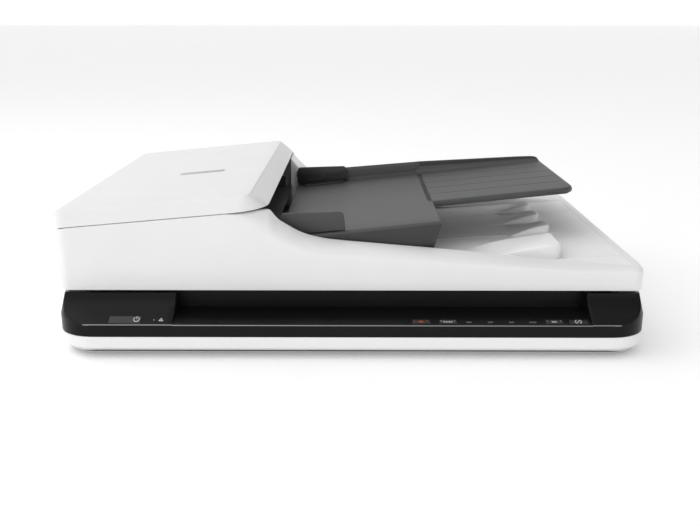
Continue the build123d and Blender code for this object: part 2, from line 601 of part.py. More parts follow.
def make_tray():
    pan = block(TRAY_LEFT, TRAY_STEP, TRAY_FRONT, TRAY_BACK, -2.5, 0)
    tongue = rounded_plate(20, TRAY_RIGHT, EXTENSION_FRONT, TRAY_BACK, -5.5, 0, 9.0)
    tongue -= block(0, 66, -60, 120, -10, 5)
    pan += tongue
    rail = loft_x([(TRAY_LEFT, rail_section(13.5)), (TRAY_STEP, rail_section(11.0)),
                   (TRAY_RIGHT - 6, rail_section(6.0))])
    pan += rail
    for y in (-20, 10, 40, 70):
        pan -= block(TRAY_STEP, TRAY_RIGHT + 5, y, y + 0.8, -0.6, 2)
    skirt = [(-40, -2), (TRAY_STEP, -2), (TRAY_STEP - 3.5, -22), (22, -14.5), (-16, -8.5), (-40, -6)]
    pan += prism_y(skirt, TRAY_FRONT, TRAY_FRONT + 2.5)
    pan += block(-40, TRAY_STEP, TRAY_BACK - 2.5, TRAY_BACK, -8.2, -2)
    u, w = TRAY_PIVOT
    for y0, y1, pin0, pin1 in ((-132.8, TRAY_FRONT, -138.2, -132.8), (TRAY_BACK, 110.6, 110.6, 113.2)):
        pan += block(u - 4, u + 4, y0, y1, w - 3, 0) + rod_y(u, w, pin0, pin1, 2.0)
    for y in (TRAY_FRONT, TRAY_BACK - 2.5):
        pan += block(u - 4, u + 8, y, y + 2.5, w - 3, -2)
    pan -= block(*NECK_FRONT_U, SHEET_FRONT + 2.2, SHEET_FRONT + 12 + GUIDE_TRAVEL, -6, 1)
    pan -= block(*NECK_REAR_U, SHEET_BACK - 12 - GUIDE_TRAVEL, SHEET_BACK - 2.2, -6, 1)
    pan += rod_z(PINION_U, PINION_Y, -7.5, -2, 2.0)
    keep("tray_pan", tilted(pan))
    bottom = block(-45, TRAY_STEP - 6, TRAY_FRONT + 3.2, TRAY_BACK - 3.0, -9.6, -8.2)
    for y in (TRAY_FRONT + 3.2, TRAY_BACK - 6):
        bottom += block(0, 60, y, y + 2.5, -8.3, -2.5)
    keep("tray_bottom", tilted(bottom))


def rack(side):
    """A toothed bar along Y beside the pinion; side is -1 for the front guide and +1 for the rear one."""
    pitch = math.pi
    pitch_u = PINION_U + side * PINION_TEETH / 2
    outer_u, root_u, tip_u = pitch_u + side * 5, pitch_u + side * 1.2, pitch_u - side * 0.8
    outline = [(outer_u, 0), (root_u, 0)]
    for i in range(RACK_TEETH):
        centre = (i + 1) * pitch
        for u, offset in ((root_u, -0.32), (tip_u, -0.12), (tip_u, 0.12), (root_u, 0.32)):
            outline.append((u, centre + offset * pitch))
    length = (RACK_TEETH + 1.5) * pitch
    outline += [(root_u, length), (outer_u, length)]
    bar = prism_z(outline, -7.4, -4.4)
    # a tooth gap faces the pinion when the guides stand at full width
    start = (1.5 - RACK_TEETH) * pitch if side < 0 else -2.5 * pitch
    return Pos(0, PINION_Y + start, 0) * bar


def guide_fence(y0, y1, foot0, foot1):
    u0, u1 = GUIDE_U
    fence = Pos((u0 + u1) / 2, y0, (GUIDE_H + 0.4) / 2) * Rot(-90, 0, 0) * extrude(
        RectangleRounded(u1 - u0, GUIDE_H - 0.4, 3.5), amount=y1 - y0)
    fence += block(u0, u1, y0, y1, 0.4, 6)
    return fence + block(u0 + 6, u1 - 4, foot0, foot1, 0.4, 1.4)


def make_guides():
    front = guide_fence(SHEET_FRONT - 3, SHEET_FRONT, SHEET_FRONT - 1, SHEET_FRONT + 11)
    front += block(NECK_FRONT_U[0] + GAP, NECK_FRONT_U[1] - GAP,
                   SHEET_FRONT + 2.8, SHEET_FRONT + 10, -4.6, 1)
    front += block(-42, NECK_FRONT_U[1] - GAP, SHEET_FRONT + 2.8, -70, -7.4, -4.4)
    front += rack(-1)
    keep("front_guide", tilted(front))
    rear = guide_fence(SHEET_BACK, SHEET_BACK + 3, SHEET_BACK - 11, SHEET_BACK + 1)
    rear += block(NECK_REAR_U[0] + GAP, NECK_REAR_U[1] - GAP, SHEET_BACK - 10, SHEET_BACK - 2.8, -4.6, 1)
    rear += block(NECK_REAR_U[0], -18, 40, SHEET_BACK - 2.8, -7.4, -4.4)
    rear += rack(1)
    keep("rear_guide", tilted(rear))
    wheel = Pos(PINION_U, PINION_Y, -7.2) * gear(1.0, PINION_TEETH, 0, 3.6)
    keep("guide_pinion", tilted(wheel - rod_z(PINION_U, PINION_Y, -9, 0, 2.0 + RUNNING)))


# ---------------------------------------------------------------- sheet feeder

def pickup_place():
    return EXIT[0] - 12.0, EXIT[1] + math.sqrt((EXIT_MODULE * EXIT_TEETH) ** 2 - 12.0 ** 2)


def pinion_place():
    reach = FEED_MODULE * (FEED_TEETH + PINION_GEAR_TEETH) / 2
    return FEED[0] + reach * math.cos(math.radians(60)), FEED[1] + reach * math.sin(math.radians(60))


def make_feeder_frame():
    frame = block(-214, -70, FRAME_FRONT, FRAME_FRONT + PLATE_T, 50.8, 94)
    frame += block(-214, -70, FRAME_BACK - PLATE_T, FRAME_BACK, 50.8, 94)
    frame += block(-214, -210, FRAME_FRONT, FRAME_BACK, 50.8, 88)
    frame += rod_y(-205, 92, FRAME_FRONT, FRAME_BACK, 2.5) + rod_y(-76, 66, FRAME_FRONT, FRAME_BACK, 2.5)
    top = [(-68, 96), (-68, 90), (-110, 96)]
    frame -= prism_y(top, -140, 120)
    for x, z in (FEED, EXIT, pickup_place()):
        frame -= rod_y(x, z, FRAME_FRONT - 1, FRAME_BACK + 1, SHAFT_R + RUNNING)
    keep("feeder_frame", frame)
    inside = (FRAME_FRONT + PLATE_T, FRAME_BACK - PLATE_T)
    upper = [(-63, 80.6), (-160, 72.0), (-160, 70.0), (-63, 78.6)]
    lower = [(-164, 50.8), (-160, 52.6), (-102, 59.3), (-63, 59.3), (-63, 57.1), (-100, 57.1), (-150, 50.8)]
    keep("entry_guide", prism_y(upper, *inside))
    keep("exit_guide", prism_y(lower, *inside))
    x, _ = pickup_place()
    pad = [(x - 9, 72.0 + (x - 9 + 160) * 8.6 / 97), (x + 9, 72.0 + (x + 9 + 160) * 8.6 / 97)]
    keep("separation_pad", prism_y(pad + [(px, pz + 1.0) for px, pz in reversed(pad)], -32, 7))
    bar = block(-152, -138, -126, 101, 57.5, 68) - block(-146, -144, -120, 95, 57, 58.5)
    keep("feeder_scan_bar", bar + block(-150, -140, inside[0], inside[1], 62, 66))


def shaft(x, z, drum_r, drums, back):
    shape = rod_y(x, z, FRAME_FRONT - 1.5, back, SHAFT_R)
    for y0, y1 in drums:
        shape += rod_y(x, z, y0, y1, drum_r)
    return shape


def make_feeder_drive():
    px, pz = pickup_place()
    mx, mz = pinion_place()
    keep("feed_roller", shaft(*FEED, 14.5, [(-60, -30), (-24, -1), (5, 35)], PULLEY_Y[1]))
    keep("exit_roller", shaft(*EXIT, 6.5, [(-60, -40), (-22, -3), (15, 35)], PULLEY_Y[1]))
    keep("pickup_roller", shaft(px, pz, 9.8, [(-30, 5)], GEAR_Y[1]))
    mesh = math.degrees(math.atan2(pz - EXIT[1], px - EXIT[0]))
    half_tooth = 180 / EXIT_TEETH

    def wheel(place, module, teeth, first):
        solid = gear_on_y(module, teeth, first, *place, *GEAR_Y)
        return solid - rod_y(*place, GEAR_Y[0] - 1, GEAR_Y[1] + 1, SHAFT_R)

    def pulley(place):
        disc = rod_y(*place, GEAR_Y[1], PULLEY_Y[1], 6.0)
        return disc - rod_y(*place, GEAR_Y[1] - 1, PULLEY_Y[1] + 1, SHAFT_R)

    keep("feed_gear", wheel(FEED, FEED_MODULE, FEED_TEETH, 0) + pulley(FEED))
    keep("exit_gear", wheel(EXIT, EXIT_MODULE, EXIT_TEETH, mesh) + pulley(EXIT))
    keep("pickup_gear", wheel((px, pz), EXIT_MODULE, EXIT_TEETH, mesh + 180 + half_tooth))
    pinion = gear_on_y(FEED_MODULE, PINION_GEAR_TEETH, 240 + 180 / PINION_GEAR_TEETH, mx, mz, *GEAR_Y)
    keep("drive_pinion", pinion + rod_y(mx, mz, GEAR_Y[1], 136, 1.5))
    motor = rod_y(mx, mz, 124, 147, 13.5) + block(mx - 24, mx + 24, 122.6, 124, mz - 4, mz + 9)
    for x in (mx - 20, mx + 20):
        motor += rod_y(x, mz + 5, FRAME_BACK, 123, 2.2)
    keep("feeder_motor", motor - rod_y(mx, mz, 120, 138, 1.5 + RUNNING))
    loop = belt_loop([(FEED[0], FEED[1]), (EXIT[0], EXIT[1])], 6.0 + BELT_AIR, 6.0 + BELT_AIR + BELT_T)
    belt = Rot(90, 0, 0) * extrude(loop, amount=4.6)
    keep("feeder_belt", Pos(0, PULLEY_Y[1] - 0.3, 0) * belt)


def main():
    envelope = base_envelope()
    make_base(envelope)
    make_bezel(envelope)
    make_platen()
    make_scan_head()
    make_electrics()
    make_base_fittings()
    make_hinges()
    make_lid_shell()
    make_output_bin()
    make_lid_underside()
    make_cover()
    make_tray()
    make_guides()
    make_feeder_frame()
    make_feeder_drive()
    os.makedirs("parts", exist_ok=True)
    for name, shape in PARTS.items():
        export_step(shape, f"parts/{name}.step")
    print(len(PARTS), "parts")


main()
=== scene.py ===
import math

import bmesh
import bpy
import numpy as np
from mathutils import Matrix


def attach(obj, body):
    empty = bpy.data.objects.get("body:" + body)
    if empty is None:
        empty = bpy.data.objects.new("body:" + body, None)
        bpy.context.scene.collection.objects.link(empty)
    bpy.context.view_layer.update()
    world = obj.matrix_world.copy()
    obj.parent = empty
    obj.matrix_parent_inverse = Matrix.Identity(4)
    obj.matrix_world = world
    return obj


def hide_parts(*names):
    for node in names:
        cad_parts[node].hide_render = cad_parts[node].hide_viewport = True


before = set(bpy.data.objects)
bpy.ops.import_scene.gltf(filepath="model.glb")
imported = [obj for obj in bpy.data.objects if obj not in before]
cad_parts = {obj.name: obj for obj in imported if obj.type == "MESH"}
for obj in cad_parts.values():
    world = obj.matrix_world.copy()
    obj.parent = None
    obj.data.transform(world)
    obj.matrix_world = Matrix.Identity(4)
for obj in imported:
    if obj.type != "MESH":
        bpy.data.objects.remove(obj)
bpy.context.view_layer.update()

MM = 0.001

# ---------------------------------------------------------------- dimensions, in millimetres

LID_HALF_X, LID_FRONT, LID_BACK, LID_LOW, LID_R = 225.5, -152.8, 152.6, 47.3, 8.0
LID_CORNER_X = 216.0   # where the straight stretches of the lid end
WALL = 2.5
FEEDER_RIGHT = -64.0
MOUTH_BACK = 111.0
BIN_RIGHT, BIN_EDGE_Z = 218.5, 64.2
COVER_TOP_X = -76.0
COVER_PIVOT = (-223.3, 96.6)
# x, crease height on the front face, y and z of the inner edge
FRONT_RIM = np.array([
    (-92.0, 105.2, -150.2, 106.8), (-80.0, 99.5, -147.5, 107.6), (-72.0, 93.5, -142.5, 108.2),
    (-64.0, 87.5, -136.0, 107.6), (-57.0, 83.0, -135.5, 100.2), (-48.5, 79.2, -134.5, 94.4),
    (-41.0, 77.0, -133.0, 89.8), (-33.0, 75.3, -132.0, 86.5), (-16.5, 73.2, -130.0, 82.7),
    (22.0, 70.5, -129.0, 78.9), (65.0, 68.2, -129.0, 75.2), (93.0, 66.7, -129.0, 72.5),
    (125.0, 65.0, -129.0, 69.3), (156.0, 63.3, -129.5, 66.7), (193.0, 61.5, -136.7, 65.5),
    (216.0, 60.3, -144.8, 65.0)])
REAR_RIM = np.array([
    (-64.0, 108.4), (-57.0, 100.2), (-48.5, 93.0), (-33.0, 86.0), (-16.5, 82.0), (22.0, 77.5),
    (65.0, 74.0), (125.0, 69.0), (193.0, 65.5), (216.0, 64.5)])
BIN_FLOOR = ((-60.0, 70.0, BIN_RIGHT), (57.5, 54.8, 64.2))   # x and height of the output floor
# Wedges on the output floor: y from and to, x where they start and end, height of the end.
FINGERS = [(-111.0, -66.0, 95.0, 170.0, 72.6), (-27.0, -7.0, 141.0, 178.0, 69.6),
           (21.0, 41.0, 141.0, 178.0, 69.0), (65.0, 85.0, 141.0, 178.0, 69.0)]
GROOVES_Y = (-109.0, -66.0, -23.0, 20.0, 65.0)
TRAY_Z, TRAY_TILT = 88.4, math.radians(5.87)
TRAY_LEFT, TRAY_STEP, TRAY_RIGHT = -57.0, 70.0, 193.5
TRAY_FRONT, TRAY_BACK, TONGUE_FRONT = -127.0, 109.0, -47.0
SHEET_FRONT, SHEET_BACK = -121.5, 96.5
GUIDE_LEFT, GUIDE_RIGHT, GUIDE_H = -55.0, -5.0, 15.0
FLATBED = (-155.0, 150.0, -121.0, 96.0)
BASE_HALF_X, BASE_FRONT, BASE_R, BASE_TOP = 225.5, -175.5, 30.0, 45.5
BULGE_Z, TAPER = 30.0, math.tan(math.radians(14.5))
BEZEL_LOW, BEZEL_BACK, PANEL_BACK = 17.5, -150.0, -138.3
POCKET_X = (-134.6, 180.6)
# Height and depth of the front panel, beside the hand pocket and in it.
SHELF = ((17.5, 26.8, 27.3, 34.0), (BASE_FRONT, BASE_FRONT, -174.9, -163.0))
POCKET = ((17.5, 26.5, 27.0, 29.3, 30.5, 45.5), (BASE_FRONT, BASE_FRONT, -174.9, -165.0, -141.5, -141.5))
KEYS = [(-170.4, -171.2, 24.0, 5.6), (52.3, -170.2, 13.0, 5.0), (72.5, -170.2, 13.0, 5.0),
        (152.4, -170.2, 13.0, 5.0), (170.5, -170.2, 14.0, 5.0)]


def top_z(x):
    return 129.1 + 0.0945 * x


def split_z(x):
    return 115.3 + 0.0893 * x


# ---------------------------------------------------------------- materials

def grained(name, colour, rough, grain=0.6, depth=0.02, mottle=0.03, rough_spread=0.05, metal=0.0,
            coat=0.0, specular=0.5):
    """Moulded plastic, rubber or metal, with a fine grain and slight changes of colour and gloss."""
    made = bpy.data.materials.new(name)
    made.use_nodes = True
    nodes, links = made.node_tree.nodes, made.node_tree.links
    shader = nodes["Principled BSDF"]
    shader.inputs["Metallic"].default_value = metal
    shader.inputs["Coat Weight"].default_value = coat
    shader.inputs["Coat Roughness"].default_value = 0.12
    shader.inputs["Specular IOR Level"].default_value = specular
    place = nodes.new("ShaderNodeTexCoord")

    def noise(size_mm, detail):
        made_noise = nodes.new("ShaderNodeTexNoise")
        made_noise.inputs["Scale"].default_value = 1000.0 / size_mm
        made_noise.inputs["Detail"].default_value = detail
        links.new(place.outputs["Object"], made_noise.inputs["Vector"])
        return made_noise

    cloud = noise(45.0, 3.0)
    tint = nodes.new("ShaderNodeValToRGB")
    tint.color_ramp.elements[0].position, tint.color_ramp.elements[1].position = 0.3, 0.7
    tint.color_ramp.elements[0].color = (*[c * (1 - mottle) for c in colour], 1)
    tint.color_ramp.elements[1].color = (*[min(1.0, c * (1 + mottle)) for c in colour], 1)
    links.new(cloud.outputs["Fac"], tint.inputs["Fac"])
    links.new(tint.outputs["Color"], shader.inputs["Base Color"])
    speck = noise(grain, 2.0)
    gloss = nodes.new("ShaderNodeMapRange")
    gloss.inputs["To Min"].default_value = rough - rough_spread
    gloss.inputs["To Max"].default_value = rough + rough_spread
    links.new(speck.outputs["Fac"], gloss.inputs["Value"])
    links.new(gloss.outputs["Result"], shader.inputs["Roughness"])
    bump = nodes.new("ShaderNodeBump")
    bump.inputs["Distance"].default_value = depth * MM
    bump.inputs["Strength"].default_value = 0.6
    links.new(speck.outputs["Fac"], bump.inputs["Height"])
    links.new(bump.outputs["Normal"], shader.inputs["Normal"])
    return made


def base_with_painted_shade(name, painted_shade_look, look_high, low, high):
    """White plastic with painted shade: the colour darkens towards the foot of the casing, where the
    underside chamfer lies in shade.
    """
    made = grained(name, look_high, 0.42, grain=0.7, depth=0.03, mottle=0.012)
    nodes, links = made.node_tree.nodes, made.node_tree.links
    place = nodes.new("ShaderNodeTexCoord")
    parts = nodes.new("ShaderNodeSeparateXYZ")
    share = nodes.new("ShaderNodeMapRange")
    share.inputs["From Min"].default_value = low * MM
    share.inputs["From Max"].default_value = high * MM
    tint = nodes.new("ShaderNodeValToRGB")
    tint.color_ramp.elements[0].color = (*painted_shade_look, 1)
    tint.color_ramp.elements[1].color = (*look_high, 1)
    links.new(place.outputs["Object"], parts.inputs["Vector"])
    links.new(parts.outputs["Z"], share.inputs["Value"])
    links.new(share.outputs["Result"], tint.inputs["Fac"])
    links.new(tint.outputs["Color"], nodes["Principled BSDF"].inputs["Base Color"])
    return made


def clear_glass(name):
    made = grained(name, (0.86, 0.93, 0.91), 0.03, grain=30.0, depth=0.0, mottle=0.01, rough_spread=0.01)
    shader = made.node_tree.nodes["Principled BSDF"]
    shader.inputs["Transmission Weight"].default_value = 0.92
    shader.inputs["IOR"].default_value = 1.45
    return made


def glowing(name, colour, strength):
    made = grained(name, colour, 0.3, grain=0.5, depth=0.0, mottle=0.05)
    shader = made.node_tree.nodes["Principled BSDF"]
    shader.inputs["Emission Color"].default_value = (*colour, 1)
    shader.inputs["Emission Strength"].default_value = strength
    return made


WHITE = grained("white_plastic", (0.79, 0.79, 0.79), 0.42, grain=0.7, depth=0.03, mottle=0.012)
# The base's white, with painted shade: grey from 4 to 9.4 mm up on the downward-facing chamfer.
BASE_WHITE_PAINTED_SHADE = base_with_painted_shade("base_white_painted_shade", (0.38, 0.38, 0.38), (0.80, 0.80, 0.80), 4.0, 9.4)
# The bin is the lid's white plastic, painted brighter than the lid to offset the shadow of the tray above it.
BIN_PAINTED_BRIGHT = grained("bin_plastic_painted_bright", (0.84, 0.84, 0.84), 0.5, grain=0.9, depth=0.04, mottle=0.012)
BLACK = grained("black_gloss", (0.006, 0.006, 0.0062), 0.3, grain=1.2, depth=0.008, mottle=0.08,
               specular=0.13)
# Lighter, glossier grey for the bezel nose's upper edge: a painted highlight.
BEZEL_PAINTED_HIGHLIGHT = grained("bezel_painted_highlight", (0.2, 0.2, 0.2), 0.22, grain=1.2, depth=0.004, mottle=0.05, specular=0.8)
KEY_BLACK = grained("key_plastic", (0.016, 0.016, 0.017), 0.3, grain=0.5, depth=0.01, mottle=0.06)
TRAY = grained("tray_plastic", (0.050, 0.051, 0.053), 0.46, grain=0.55, depth=0.05, mottle=0.05)
# The tray's plastic at half brightness for its front face: painted shade.
SKIRT_PAINTED_SHADE = grained("skirt_painted_shade", (0.026, 0.026, 0.027), 0.46, grain=0.55, depth=0.05, mottle=0.05)
GUIDE = grained("guide_plastic", (0.055, 0.055, 0.057), 0.55, grain=0.5, depth=0.05, mottle=0.05)
# Dark plastic of the rear guide, also put on the tray's rear rail as painted shade.
GUIDE_DARK_AND_RAIL_SHADE = grained("guide_dark_and_rail_painted_shade", (0.014, 0.014, 0.015), 0.4, grain=0.5, depth=0.04, mottle=0.06)
INNER = grained("inner_black", (0.012, 0.012, 0.013), 0.6, grain=0.6, depth=0.05, mottle=0.1)
PLATEN = grained("platen_grey", (0.20, 0.205, 0.21), 0.5, grain=0.6, depth=0.04, mottle=0.03)
GEAR_WHITE = grained("gear_nylon", (0.62, 0.60, 0.54), 0.4, grain=0.8, depth=0.02, mottle=0.03)
FOAM = grained("foam_white", (0.80, 0.80, 0.78), 0.85, grain=1.1, depth=0.25, mottle=0.03)
RUBBER = grained("foot_rubber", (0.022, 0.022, 0.023), 0.75, grain=0.7, depth=0.08, mottle=0.1)
ROLLER = grained("roller_rubber", (0.05, 0.052, 0.06), 0.65, grain=0.9, depth=0.12, mottle=0.12)
STEEL = grained("steel", (0.55, 0.55, 0.56), 0.28, grain=0.35, depth=0.01, mottle=0.05, metal=1.0)
ZINC = grained("zinc", (0.42, 0.43, 0.45), 0.42, grain=0.8, depth=0.02, mottle=0.1, metal=1.0)
BOARD = grained("board_green", (0.012, 0.10, 0.045), 0.4, grain=0.8, depth=0.02, mottle=0.2)
SILVER = grained("badge_silver", (0.40, 0.41, 0.42), 0.34, grain=0.4, depth=0.02, mottle=0.04, metal=0.8)
CORK = grained("pad_cork", (0.22, 0.12, 0.06), 0.85, grain=0.8, depth=0.2, mottle=0.35)
ICON = grained("icon_print", (0.62, 0.62, 0.62), 0.5, grain=0.4, depth=0.0, mottle=0.05)
ICON_DIM = grained("icon_print_dim", (0.16, 0.16, 0.16), 0.5, grain=0.4, depth=0.0, mottle=0.05)
ICON_RED = grained("icon_print_red", (0.72, 0.13, 0.03), 0.5, grain=0.4, depth=0.0, mottle=0.05)
GLASS = clear_glass("scan_glass")

CAD_LOOK = {
    "base_tub": BASE_WHITE_PAINTED_SHADE, "front_bezel": BLACK, "platen_frame": PLATEN, "platen_glass": GLASS,
    "feeder_glass": GLASS, "rubber_feet": RUBBER, "guide_rod": STEEL, "scan_belt": INNER,
    "motor_bracket": STEEL, "scan_motor": ZINC, "main_board": BOARD, "usb_socket": ZINC, "dc_jack": INNER,
    "panel_board": BOARD, "key_switches": INNER, "base_screws": STEEL, "carriage": INNER,
    "sensor_bar": GUIDE, "drive_pulley": GEAR_WHITE, "idler_pulley": GEAR_WHITE,
    "hinge_post_left": WHITE, "hinge_post_right": WHITE, "hinge_pins": STEEL, "lid_underpan": WHITE,
    "hinge_arm_left": WHITE, "hinge_arm_right": WHITE, "lid_screws": STEEL, "pressure_plate": WHITE,
    "feeder_frame": INNER, "feeder_motor": ZINC, "separation_pad": CORK, "entry_guide": GUIDE,
    "exit_guide": GUIDE, "feeder_scan_bar": INNER, "feeder_belt": INNER, "cover_pins": STEEL,
    "feed_roller": ROLLER, "feed_gear": GEAR_WHITE, "exit_roller": ROLLER, "exit_gear": GEAR_WHITE,
    "pickup_roller": ROLLER, "pickup_gear": GEAR_WHITE, "drive_pinion": GEAR_WHITE, "cover_guide": GUIDE,
    "pinch_roller": ROLLER, "tray_bottom": TRAY, "guide_pinion": GEAR_WHITE,
    "power_button": KEY_BLACK, "cancel_key": KEY_BLACK, "tools_key": KEY_BLACK, "duplex_key": KEY_BLACK,
    "scan_key": KEY_BLACK,
}


# ---------------------------------------------------------------- mesh helpers

def tidy(made, sharp_deg=32.0):
    """Joins doubled points, turns the faces outwards and shades smooth except over sharp edges."""
    bmesh.ops.remove_doubles(made, verts=made.verts, dist=2e-6)
    bmesh.ops.dissolve_degenerate(made, edges=made.edges, dist=1e-7)
    bmesh.ops.recalc_face_normals(made, faces=made.faces)
    for face in made.faces:
        face.smooth = True
    for edge in made.edges:
        edge.smooth = edge.is_manifold and edge.calc_face_angle(0.0) < math.radians(sharp_deg)


def piece(name, made, look, body, replaces=()):
    """A finished bmesh becomes an object that rides on its body."""
    tidy(made)
    mesh = bpy.data.meshes.new(name)
    made.to_mesh(mesh)
    made.free()
    obj = bpy.data.objects.new(name, mesh)
    bpy.context.scene.collection.objects.link(obj)
    mesh.materials.append(look)
    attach(obj, body)
    if replaces:
        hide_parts(*replaces)
    return obj


def add_rings(made, rings, closed=False):
    """Quads between rings of equal length; each ring is a closed loop of points in millimetres."""
    rows = [[made.verts.new([c * MM for c in p]) for p in ring] for ring in rings]
    pairs = list(zip(rows, rows[1:]))
    if closed:
        pairs.append((rows[-1], rows[0]))
    for low, high in pairs:
        for i in range(len(low)):
            j = (i + 1) % len(low)
            made.faces.new((low[i], low[j], high[j], high[i]))
    if not closed:
        for row in (rows[0], rows[-1]):
            made.faces.new(row)


def rounded_outline(x0, x1, y0, y1, radii, inset=0.0, steps=8, along=6):
    """Points round a rectangle, corners in the order front right, back right, back left, front left."""
    corners = [(x1, y0, -90), (x1, y1, 0), (x0, y1, 90), (x0, y0, 180)]
    points = []
    for (cx, cy, start), radius in zip(corners, radii):
        r = max(radius - inset, 0.02)
        mx = cx - math.copysign(inset + r, cx - (x0 + x1) / 2)
        my = cy - math.copysign(inset + r, cy - (y0 + y1) / 2)
        for k in range(steps + 1):
            a = math.radians(start + 90 * k / steps)
            points.append((mx + r * math.cos(a), my + r * math.sin(a)))
    full = []
    for i, (xa, ya) in enumerate(points):
        xb, yb = points[(i + 1) % len(points)]
        full.append((xa, ya))
        if (i + 1) % (steps + 1) == 0:
            full += [(xa + (xb - xa) * k / along, ya + (yb - ya) * k / along) for k in range(1, along)]
    return full


def slab_rings(x0, x1, y0, y1, radii, low, high, edge=1.0, low_edge=0.4, steps=8):
    """Rings of a slab with soft edges; low and high are heights, or functions of x and y."""
    def height(z, x, y):
        return z(x, y) if callable(z) else z

    levels = [(low_edge * (1 - math.sin(a)), low, low_edge * (1 - math.cos(a)))
              for a in (0.0, 0.8, math.pi / 2)]
    levels += [(edge * (1 - math.cos(a)), high, -edge * (1 - math.sin(a)))
               for a in np.linspace(0, math.pi / 2, 6)]
    rings = []
    for inset, base, lift in levels:
        plan = rounded_outline(x0, x1, y0, y1, radii, inset, steps)
        rings.append([(x, y, height(base, x, y) + lift) for x, y in plan])
    return rings


def tilt(rings):
    """Moves rings from the flat tray frame to their place."""
    c, s = math.cos(TRAY_TILT), math.sin(TRAY_TILT)
    return [[(u * c - w * s, y, TRAY_Z + u * s + w * c) for u, y, w in ring] for ring in rings]


def smooth_table(table, column, x):
    """A curve through a table's rows that doesn't overshoot."""
    xs, ys = table[:, 0], table[:, column]
    slopes = np.diff(ys) / np.diff(xs)
    before, after = slopes[:-1], slopes[1:]
    between = np.where(before * after > 0, 2 * before * after / (before + after + 1e-12), 0.0)
    ends = np.concatenate(([slopes[0]], between, [slopes[-1]]))
    i = int(np.clip(np.searchsorted(xs, x) - 1, 0, len(xs) - 2))
    h = xs[i + 1] - xs[i]
    t = (x - xs[i]) / h
    return float((2 * t**3 - 3 * t**2 + 1) * ys[i] + (t**3 - 2 * t**2 + t) * h * ends[i]
                 + (3 * t**2 - 2 * t**3) * ys[i + 1] + (t**3 - t**2) * h * ends[i + 1])


# ---------------------------------------------------------------- lid

def rim_section(outer, inner, crease, z_in, sweep, low_in):
    """Ring of points across the lid's rim, from the bottom edge up the outer wall and down the inner one."""
    outer, inner = np.array(outer), np.array(inner)
    width = float(np.linalg.norm(inner - outer))
    back = min(WALL, width)
    rise = z_in - crease
    flat = [(back, LID_LOW), (0.5, LID_LOW), (0.15, LID_LOW + 0.15), (0.0, LID_LOW + 0.5)]
    flat += [(0.0, LID_LOW + (crease - LID_LOW) * k) for k in (0.35, 0.7, 0.93)]
    for a in np.linspace(0, math.pi / 2, 15):
        ellipse = (width * (1 - math.cos(a)), rise * math.sin(a))
        turn = min(1.0, 1.6 * a / (math.pi / 2)) * math.pi / 2
        run = min(rise, 0.4 * width)
        straight = (run * (1 - math.cos(turn))
                    + (width - run) * max(0.0, (1.6 * a / (math.pi / 2) - 1) / 0.6),
                    rise * math.sin(turn))
        d, z = [sweep * e + (1 - sweep) * s for e, s in zip(ellipse, straight)]
        flat.append((min(d, width - 0.5), crease + z))
    flat += [(width - 0.15, z_in - 0.15), (width, z_in - 0.5), (width, low_in), (back, low_in)]
    way = (inner - outer) / width
    return [(*(outer + way * d), z) for d, z in flat]


